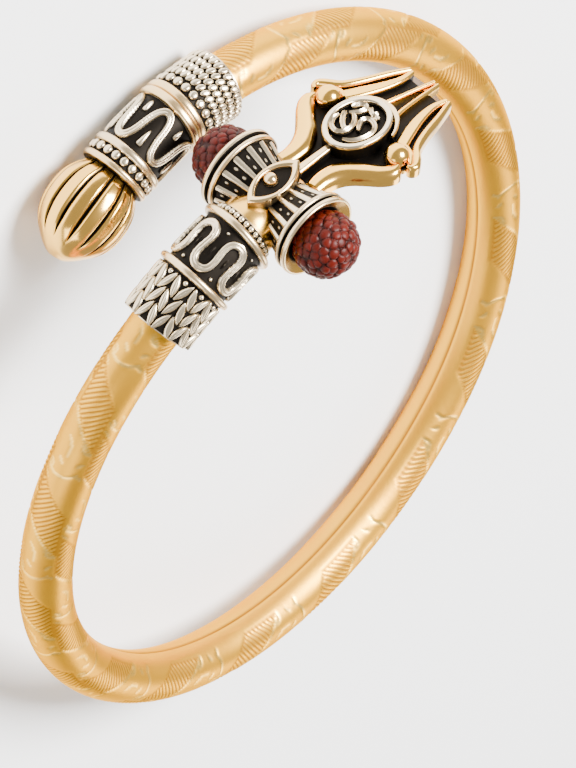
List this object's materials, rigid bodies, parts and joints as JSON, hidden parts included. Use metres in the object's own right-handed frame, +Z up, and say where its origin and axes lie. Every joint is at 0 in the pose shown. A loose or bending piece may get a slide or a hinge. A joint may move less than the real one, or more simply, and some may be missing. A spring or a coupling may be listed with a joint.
{
  "type": "kada bangle",
  "caption": "Open bypass bangle of round tube, one end a fluted bud on a beaded collar, the other a damru drum with rudraksha seeds and a trident.",
  "frame": {"origin": "middle of the object's box in X and Y, on the table that the bangle lies on", "axes": "+Z up from the table, -Y towards the side where the two ends pass each other, +X to the right as seen from there"},
  "size_m": [0.0744, 0.0756, 0.0301],
  "materials": {
    "band_gold": "satin gold plate, engraved with hatched lozenges and leaf arcs",
    "oxidised_silver": "polished raised wires and grains over blackened recesses",
    "cast_gold": "polished gold plate over cast relief, with blackened grooves",
    "rudraksha": "oiled, deep reddish brown, knobbly"
  },
  "bodies": {
    "root": {"band": "band_gold", "trident_collar": "oxidised_silver", "damru": "oxidised_silver", "eye_plaque": "cast_gold", "trident": "cast_gold", "rudraksha_upper": "rudraksha", "rudraksha_lower": "rudraksha", "bud_collar": "oxidised_silver", "bud": "cast_gold"}
  },
  "joints": []
}
